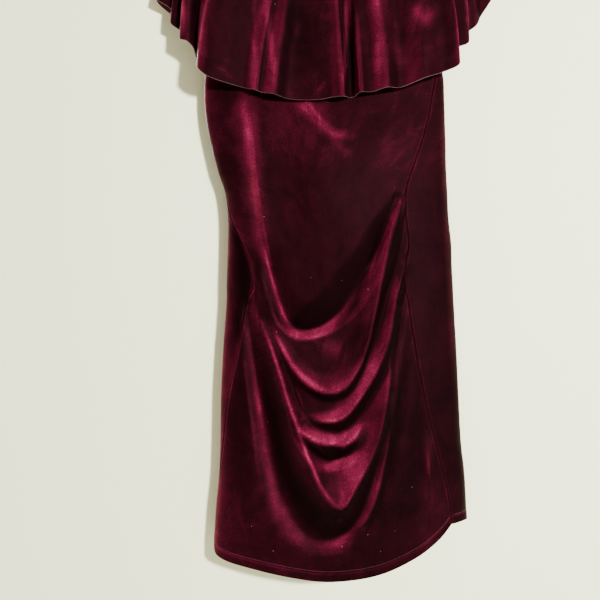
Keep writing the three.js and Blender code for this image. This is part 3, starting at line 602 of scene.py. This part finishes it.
def shell(name, grid, outward, thick, materials, marks=(), bare_rows=0):
    """A closed thin wall: outer face, inner face and cut rim, with its own material each."""
    rows, columns = grid.shape[:2]
    normals = face_normals(grid, outward)
    inner = grid - normals * thick
    points = np.concatenate([grid.reshape(-1, 3), inner.reshape(-1, 3)]) * MM
    index = np.arange(rows * columns).reshape(rows, columns)
    a, b, c, d = index[:-1, :-1], index[:-1, 1:], index[1:, 1:], index[1:, :-1]
    front = np.stack([a, b, c, d], -1).reshape(-1, 4)
    back = np.stack([a, d, c, b], -1).reshape(-1, 4) + rows * columns
    rim = np.concatenate([index[0, :], index[1:, -1], index[-1, -2::-1], index[-2:0:-1, 0]])
    after = np.roll(rim, -1)
    edge = np.stack([rim, rim + rows * columns, after + rows * columns, after], -1)
    faces = np.concatenate([front, back, edge])
    if outward < 0:
        faces = faces[:, ::-1]
    mesh = bpy.data.meshes.new(name)
    mesh.from_pydata(points.tolist(), [], faces.tolist())
    pile_side = np.zeros(len(front), int)
    pile_side[:bare_rows * (columns - 1)] = 2
    kinds = np.concatenate([pile_side, np.ones(len(back), int), np.full(len(edge), 2)])
    for material in materials:
        mesh.materials.append(material)
    mesh.polygons.foreach_set("material_index", kinds)
    mesh.polygons.foreach_set("use_smooth", np.arange(len(kinds)) < len(front) + len(back))
    u, v = cloth_lengths(grid)
    flat = np.stack([u.reshape(-1), v.reshape(-1)], -1)
    flat = np.concatenate([flat, flat])
    layer = mesh.uv_layers.new(name="cloth")
    layer.data.foreach_set("uv", flat[faces.reshape(-1)].reshape(-1))
    # the painted light and shade, kept in the 'pile' attribute for the velvet's colour
    painted_light_and_crush = painted_light_and_pressed_pile(grid, normals, marks).reshape(-1)
    pile = mesh.attributes.new("pile", "FLOAT", "POINT")
    pile.data.foreach_set("value", np.concatenate([painted_light_and_crush, painted_light_and_crush]))
    mesh.update()
    piece = bpy.data.objects.new(name, mesh)
    bpy.context.scene.collection.objects.link(piece)
    return piece


def sew(grid, outward, gathers):
    """The stitching's marks: seams pulled in, gathers puckered, and the doubled hem."""
    u, v = cloth_lengths(grid)
    left, right, height = (u - u[:, :1]) / MM, (u[:, -1:] - u) / MM, v / MM
    lift = -SEAM_SINK * (1 - smooth(0, SEAM_REACH, np.minimum(left, right)))
    lift = lift - HEM_GROOVE * np.exp(-((height - HEM_TURNED) / HEM_GROOVE_HALF) ** 2)
    lift = lift + HEM_DOUBLE * (1 - smooth(HEM_TURNED - HEM_DOUBLE_STEP, HEM_TURNED, height))
    z = grid[..., 2]
    for side, away in (("left", left), ("right", right)):
        if side in gathers:
            top, bottom, pucker = gathers[side]
            wave = sum(part * np.sin(2 * np.pi * (z + GATHER_SLANT * away) / length + phase)
                       for length, phase, part in GATHER_WAVES)
            within = smooth(bottom, bottom + GATHER_FADE, z) * smooth(top, top - GATHER_FADE, z)
            lift = lift + pucker * wave * within * np.exp(-(away / GATHER_REACH) ** 2)
    return grid + face_normals(grid, outward) * lift[..., None]


def stitches(name, grid, outward, material):
    """A row of machine stitches along the hem, each a little capsule lying on the cloth."""
    normals = face_normals(grid, outward)
    _, v = cloth_lengths(grid)
    row = int(np.argmin(np.abs(v[:, 0] / MM - HEM_TURNED)))
    line, out = grid[row], normals[row]
    lengths = np.concatenate([[0], np.cumsum(np.linalg.norm(np.diff(line, axis=0), axis=1))])
    starts = np.arange(STITCH["step"], lengths[-1] - STITCH["step"] * 2, STITCH["step"])
    points, faces = [], []
    sides = STITCH_SIDES
    for start in starts:
        first = len(points)
        for share, girth in STITCH_RINGS:
            place = start + share * STITCH["length"]
            at = np.array([np.interp(place, lengths, line[:, i]) for i in range(3)])
            up = np.array([np.interp(place, lengths, out[:, i]) for i in range(3)])
            ahead = np.array([np.interp(place + 1, lengths, line[:, i]) for i in range(3)]) - at
            aside = np.cross(ahead / np.linalg.norm(ahead), up)
            for turn in range(sides):
                angle = 2 * math.pi * turn / sides
                radius = girth * STITCH["thick"] / 2
                raised = up * (STITCH["proud"] + radius * math.sin(angle))
                points.append(at + raised + aside * radius * math.cos(angle))
        for ring in range(len(STITCH_RINGS) - 1):
            for turn in range(sides):
                a, b = first + ring * sides + turn, first + ring * sides + (turn + 1) % sides
                faces.append((a, b, b + sides, a + sides))
        faces.append(tuple(range(first + sides - 1, first - 1, -1)))
        last = first + (len(STITCH_RINGS) - 1) * sides
        faces.append(tuple(range(last, last + sides)))
    mesh = bpy.data.meshes.new(name)
    mesh.from_pydata((np.array(points) * MM).tolist(), [], faces)
    mesh.materials.append(material)
    mesh.polygons.foreach_set("use_smooth", [True] * len(mesh.polygons))
    piece = bpy.data.objects.new(name, mesh)
    bpy.context.scene.collection.objects.link(piece)
    return piece


def lint(name, grids, material):
    """A few pale specks of lint, caught in the pile."""
    points, faces = [], []
    picker = random.Random(LINT_SEED)
    for grid, outward, count in grids:
        normals = face_normals(grid, outward)
        for _ in range(count):
            row = picker.randrange(LINT_MARGIN[0], grid.shape[0] * 2 // 3)
            column = picker.randrange(LINT_MARGIN[1], grid.shape[1] - LINT_MARGIN[1])
            at, up = grid[row, column], normals[row, column]
            turn = picker.uniform(0, math.pi)
            along = np.cross(up, (math.sin(turn), 0, math.cos(turn)))
            along /= np.linalg.norm(along)
            aside = np.cross(up, along)
            long, wide = picker.uniform(*LINT["long"]), picker.uniform(*LINT["wide"])
            first = len(points)
            lifted = at + up * LINT["lift"]
            points.extend((lifted + along * long, lifted + aside * wide,
                           lifted - along * long, lifted - aside * wide,
                           at + up * LINT["top"], at - up * LINT["root"]))
            for i in range(4):
                a, b = first + i, first + (i + 1) % 4
                faces.extend(((a, b, first + 4), (b, a, first + 5)))
    mesh = bpy.data.meshes.new(name)
    mesh.from_pydata((np.array(points) * MM).tolist(), [], faces)
    mesh.materials.append(material)
    piece = bpy.data.objects.new(name, mesh)
    bpy.context.scene.collection.objects.link(piece)
    return piece


# ---- materials ---------------------------------------------------------------------------------

class Nodes:
    """A short way to write a material's nodes."""

    def __init__(self, name):
        self.material = bpy.data.materials.new(name)
        self.material.use_nodes = True
        self.tree = self.material.node_tree
        self.shader = self.tree.nodes["Principled BSDF"]

    def add(self, kind, **values):
        node = self.tree.nodes.new(kind)
        for key, value in values.items():
            if hasattr(node, key):
                setattr(node, key, value)
            else:
                node.inputs[key.replace("_", " ")].default_value = value
        return node

    def link(self, out, into):
        self.tree.links.new(out, into)

    def set(self, **values):
        for key, value in values.items():
            self.shader.inputs[key.replace("_", " ")].default_value = value

    def cloth_map(self, scale):
        place = self.add("ShaderNodeUVMap", uv_map="cloth")
        mapping = self.add("ShaderNodeMapping")
        mapping.inputs["Scale"].default_value = scale
        self.link(place.outputs["UV"], mapping.inputs["Vector"])
        return mapping.outputs["Vector"]

    def noise(self, vector, scale, detail=3, rough=0.5, distortion=0.0):
        node = self.add("ShaderNodeTexNoise", Scale=scale, Detail=detail, Roughness=rough,
                        Distortion=distortion)
        self.link(vector, node.inputs["Vector"])
        return node.outputs["Fac"]

    def ramp(self, value, stops):
        node = self.add("ShaderNodeValToRGB")
        elements = node.color_ramp.elements
        while len(elements) < len(stops):
            elements.new(0.5)
        for element, (place, color) in zip(elements, stops):
            element.position = place
            element.color = (*color, 1)
        self.link(value, node.inputs["Fac"])
        return node.outputs["Color"]

    def math(self, operation, a, b):
        node = self.add("ShaderNodeMath", operation=operation)
        for socket, value in zip(node.inputs, (a, b)):
            if isinstance(value, (int, float)):
                socket.default_value = value
            else:
                self.link(value, socket)
        return node.outputs["Value"]

    def bump(self, height, distance, strength, after=None):
        node = self.add("ShaderNodeBump", Distance=distance, Strength=strength)
        self.link(height, node.inputs["Height"])
        if after is not None:
            self.link(after, node.inputs["Normal"])
        return node.outputs["Normal"]


# The pile's colour by its painted light and shade: nearly black wine for painted shade, raspberry
# for painted highlight.
PILE_SHADING_COLORS = (
    (0.04, (0.0024, 0.0005, 0.0008)),
    (0.20, (0.0090, 0.0011, 0.0022)),
    (0.45, (0.0440, 0.0028, 0.0096)),
    (0.72, (0.1380, 0.0090, 0.0320)),
    (1.00, (0.3100, 0.0330, 0.0930)),
)


def velvet_material():
    """The pile side: its colour by painted light and shade and a painted sheen, varied by crush marks,
    streaks and grain.
    """
    m = Nodes("velvet_pile")
    crush = m.noise(m.cloth_map((1, 0.5, 1)), 30, 5, 0.62, 0.6)
    smudge = m.noise(m.cloth_map((1, 0.6, 1)), 8, 3, 0.55, 0.3)
    across = m.noise(m.cloth_map((0.35, 1.3, 1)), 34, 4, 0.6, 0.8)
    lines = m.noise(m.cloth_map((1, 0.6, 1)), 13, 2, 0.5, 1.6)
    nap = m.noise(m.cloth_map((1, 0.7, 1)), 900, 2, 0.5)
    grain = m.noise(m.cloth_map((1, 0.8, 1)), 420, 2, 0.6)
    blend = m.math("ADD", m.math("MULTIPLY", crush, 0.6), m.math("MULTIPLY", smudge, 0.4))
    soft = m.bump(blend, 0.006, 0.3)
    fine = m.bump(nap, 0.0006, 0.5, soft)
    slope = m.add("ShaderNodeLayerWeight", Blend=0.5)
    m.link(fine, slope.inputs["Normal"])
    # the 'pile' attribute: painted light and shade from the cloth's facing, its ridges and the marks
    pile = m.add("ShaderNodeAttribute", attribute_name="pile").outputs["Fac"]
    streaks = m.math("MULTIPLY", m.math("SUBTRACT", across, 0.5), 0.36)
    mottle = m.math("ADD", m.math("MULTIPLY", m.math("SUBTRACT", blend, 0.5), 1.2), streaks)
    crease = m.math("SUBTRACT", 0.014, m.math("ABSOLUTE", m.math("SUBTRACT", lines, 0.53), 0))
    pressed = m.math("MULTIPLY", m.math("MAXIMUM", crease, 0), m.math("MULTIPLY", smudge, 5.0))
    specks = m.math("MULTIPLY", m.math("SUBTRACT", grain, 0.5), 0.75)
    # painted sheen: the colour grows paler where the cloth turns away from view
    sheen = m.math("MULTIPLY", slope.outputs["Facing"], 0.24)
    crushed = m.math("MULTIPLY", m.math("ADD", mottle, specks), m.math("ADD", pile, 0.28))
    # painted light and shade, painted sheen and the crush texture, together
    painted_light_and_crush = m.math("ADD", m.math("ADD", pile, sheen), m.math("ADD", crushed, pressed))
    m.link(m.ramp(painted_light_and_crush, PILE_SHADING_COLORS), m.shader.inputs["Base Color"])
    m.link(fine, m.shader.inputs["Normal"])
    m.set(Roughness=0.5, Sheen_Weight=0.01, Sheen_Roughness=0.4,
          Sheen_Tint=(0.85, 0.12, 0.28, 1), Specular_IOR_Level=0.022, Specular_Tint=(1.0, 0.3, 0.45, 1))
    return m.material


def backing_material():
    """The wrong side: a matte, finely knitted maroon."""
    m = Nodes("velvet_backing")
    rib = m.noise(m.cloth_map((3, 1, 1)), 700, 2, 0.5)
    shade = m.noise(m.cloth_map((1, 1, 1)), 20, 3, 0.5)
    color = m.ramp(shade, ((0.3, (0.060, 0.008, 0.014)), (0.7, (0.095, 0.015, 0.025))))
    m.link(color, m.shader.inputs["Base Color"])
    m.link(m.bump(rib, 0.0004, 0.4), m.shader.inputs["Normal"])
    m.set(Roughness=0.95, Sheen_Weight=0.08, Sheen_Tint=(0.8, 0.3, 0.36, 1))
    return m.material


def rim_material():
    """The cut edge: the ends of the pile and backing, paler than either face."""
    m = Nodes("velvet_rim")
    fray = m.noise(m.cloth_map((1, 1, 1)), 500, 3, 0.6)
    color = m.ramp(fray, ((0.35, (0.030, 0.004, 0.008)), (0.65, (0.085, 0.020, 0.027))))
    m.link(color, m.shader.inputs["Base Color"])
    m.set(Roughness=0.9, Sheen_Weight=0.2, Sheen_Tint=(0.9, 0.6, 0.6, 1))
    return m.material


def thread_material():
    m = Nodes("hem_thread")
    twist = m.noise(m.add("ShaderNodeTexCoord").outputs["Object"], 1500, 2, 0.5)
    color = m.ramp(twist, ((0.3, (0.07, 0.006, 0.016)), (0.7, (0.14, 0.016, 0.036))))
    m.link(color, m.shader.inputs["Base Color"])
    m.set(Roughness=0.6, Sheen_Weight=0.1)
    return m.material


def lint_material():
    m = Nodes("lint_fibre")
    shade = m.noise(m.add("ShaderNodeTexCoord").outputs["Object"], 900, 2, 0.5)
    color = m.ramp(shade, ((0.3, (0.34, 0.2, 0.2)), (0.7, (0.6, 0.45, 0.45))))
    m.link(color, m.shader.inputs["Base Color"])
    m.set(Roughness=0.9)
    return m.material


def wood_material():
    """Plain varnished beech, its grain along the bar."""
    m = Nodes("hanger_beech")
    place = m.add("ShaderNodeTexCoord").outputs["Object"]
    mapping = m.add("ShaderNodeMapping")
    mapping.inputs["Scale"].default_value = (3, 40, 40)
    m.link(place, mapping.inputs["Vector"])
    grain = m.noise(mapping.outputs["Vector"], 6, 6, 0.62, 0.8)
    flecks = m.noise(mapping.outputs["Vector"], 40, 2, 0.5)
    color = m.ramp(m.math("ADD", m.math("MULTIPLY", grain, 0.8), m.math("MULTIPLY", flecks, 0.2)),
                   ((0.32, (0.30, 0.15, 0.06)), (0.5, (0.50, 0.29, 0.13)), (0.7, (0.62, 0.40, 0.20))))
    m.link(color, m.shader.inputs["Base Color"])
    m.link(m.bump(grain, 0.0006, 0.3), m.shader.inputs["Normal"])
    m.set(Roughness=0.38, Coat_Weight=0.25, Coat_Roughness=0.2)
    return m.material


def steel_material():
    """Polished wire with fine drawing lines."""
    m = Nodes("hook_wire")
    place = m.add("ShaderNodeTexCoord").outputs["Object"]
    lines = m.noise(place, 700, 3, 0.6)
    wear = m.noise(place, 60, 3, 0.5)
    color = m.ramp(wear, ((0.3, (0.50, 0.50, 0.51)), (0.7, (0.66, 0.66, 0.67))))
    m.link(color, m.shader.inputs["Base Color"])
    m.link(m.ramp(lines, ((0.3, (0.18,) * 3), (0.7, (0.34,) * 3))), m.shader.inputs["Roughness"])
    m.link(m.bump(lines, 0.0002, 0.2), m.shader.inputs["Normal"])
    m.set(Metallic=1.0)
    return m.material


# ---- the dress ---------------------------------------------------------------------------------

cloths = (velvet_material(), backing_material(), rim_material())

front_grid = sew(dress_grid("front", FRONT_GRID), 1, GATHERS)
back_grid = sew(dress_grid("back", BACK_GRID), -1, {})
flounce_grids = {panel: flounce_grid(panel, corners, grid) for panel, corners, grid in (
    ("front", FLOUNCE_FRONT_HEM, FLOUNCE_FRONT_GRID), ("back", FLOUNCE_BACK_HEM, FLOUNCE_BACK_GRID))}

dress_front = shell("dress_front_cloth", front_grid, 1, CLOTH, cloths, FRONT_MARKS)
dress_back = shell("dress_back_cloth", back_grid, -1, CLOTH, cloths, BACK_MARKS)
flounce_front = shell("flounce_front_cloth", flounce_grids["front"], 1, CLOTH, cloths,
                      FLOUNCE_MARKS, bare_rows=1)
flounce_back = shell("flounce_back_cloth", flounce_grids["back"], -1, CLOTH, cloths,
                     FLOUNCE_BACK_MARKS, bare_rows=1)

for piece, node in ((dress_front, "dress_front"), (dress_back, "dress_back"),
                    (flounce_front, "flounce_front"), (flounce_back, "flounce_back")):
    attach(piece, "root")
    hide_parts(node)

thread = thread_material()
for piece in (stitches("hem_stitches_front", front_grid, 1, thread),
              stitches("hem_stitches_back", back_grid, -1, thread),
              lint("lint", ((front_grid, 1, 16), (flounce_grids["front"], 1, 5), (back_grid, -1, 8)),
                   lint_material())):
    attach(piece, "root")

for node, material in (("hanger_bar", wood_material()), ("hanger_hook", steel_material())):
    part = bpy.data.objects[node]
    for slot in part.material_slots:
        slot.material = material

# ---- the stage ---------------------------------------------------------------------------------

WALL_Y = 27
WALL_SIZE = 8               # metres
WALL_PAINT = (0.93, 0.955, 0.66)
FLOOR_Z = -1620
FLOOR_SIZE = 12             # metres
FLOOR_PAINT = (0.55, 0.53, 0.47)


def plane(name, size, place, turn, material):
    bpy.ops.mesh.primitive_plane_add(size=size, location=place, rotation=turn)
    piece = bpy.context.object
    piece.name = name
    piece.data.materials.append(material)


def plaster(name, color, see_through_from_behind):
    """Matte paint. The wall is clear from behind, so that the back of the dress can be seen."""
    m = Nodes(name)
    place = m.add("ShaderNodeTexCoord").outputs["Object"]
    m.link(m.bump(m.noise(place, 160, 3, 0.5), 0.0012, 0.35), m.shader.inputs["Normal"])
    m.set(Base_Color=(*color, 1), Roughness=0.75)
    if see_through_from_behind:
        clear = m.add("ShaderNodeBsdfTransparent").outputs["BSDF"]
        seen = m.add("ShaderNodeNewGeometry").outputs["Backfacing"]
        shadow = m.add("ShaderNodeLightPath").outputs["Is Shadow Ray"]
        choose = m.add("ShaderNodeMixShader")
        m.link(m.math("MAXIMUM", seen, shadow), choose.inputs[0])
        m.link(m.shader.outputs["BSDF"], choose.inputs[1])
        m.link(clear, choose.inputs[2])
        m.link(choose.outputs["Shader"], m.tree.nodes["Material Output"].inputs["Surface"])
    return m.material


plane("wall", WALL_SIZE, (0, WALL_Y * MM, 0), (math.pi / 2, 0, 0),
      plaster("wall_paint", WALL_PAINT, True))
plane("floor", FLOOR_SIZE, (0, 0, FLOOR_Z * MM), (0, 0, 0),
      plaster("floor_paint", FLOOR_PAINT, False))

# ---- light and camera --------------------------------------------------------------------------

CAMERA_AT = (-42.5, -1290, -841)
CAMERA_ANGLE = 45
CAMERA_SENSOR = 36

# Each lamp's name, place, size in metres, watts and colour. All aim at the dress's middle.
MIDDLE = (0, -30, -850)
LAMPS = (
    ("key", (1220, -2480, -300), 0.26, 255, (1.0, 0.99, 0.95)),
    ("above", (-200, -900, 900), 1.4, 7, (1.0, 0.95, 0.84)),
    ("fill", (-1500, -2200, -300), 1.6, 4, (1.0, 0.95, 0.84)),
    ("back", (-1300, 2200, 300), 1.2, 170, (1.0, 0.98, 0.95)),
)
ROOM_COLOR = (1.0, 0.95, 0.82, 1)
ROOM_LIGHT = 0.09


def lamp(name, place, size, watts, color):
    data = bpy.data.lights.new(name, "AREA")
    data.shape = "DISK"
    data.size = size
    data.energy = watts
    data.color = color
    light = bpy.data.objects.new(name, data)
    bpy.context.scene.collection.objects.link(light)
    place = np.array(place) * MM
    away = place - np.array(MIDDLE) * MM
    light.location = place
    light.rotation_euler = (math.atan2(math.hypot(away[0], away[1]), away[2]), 0,
                            math.atan2(away[0], -away[1]))


for row in LAMPS:
    lamp(*row)

world = bpy.data.worlds.new("room")
bpy.context.scene.world = world
world.use_nodes = True
world.node_tree.nodes["Background"].inputs["Color"].default_value = ROOM_COLOR
world.node_tree.nodes["Background"].inputs["Strength"].default_value = ROOM_LIGHT

camera_data = bpy.data.cameras.new("camera")
camera_data.sensor_width = CAMERA_SENSOR
camera_data.lens = CAMERA_SENSOR / 2 / math.tan(math.radians(CAMERA_ANGLE / 2))
camera = bpy.data.objects.new("camera", camera_data)
camera.location = np.array(CAMERA_AT) * MM
camera.rotation_euler = (math.pi / 2, 0, 0)
bpy.context.scene.collection.objects.link(camera)
bpy.context.scene.camera = camera
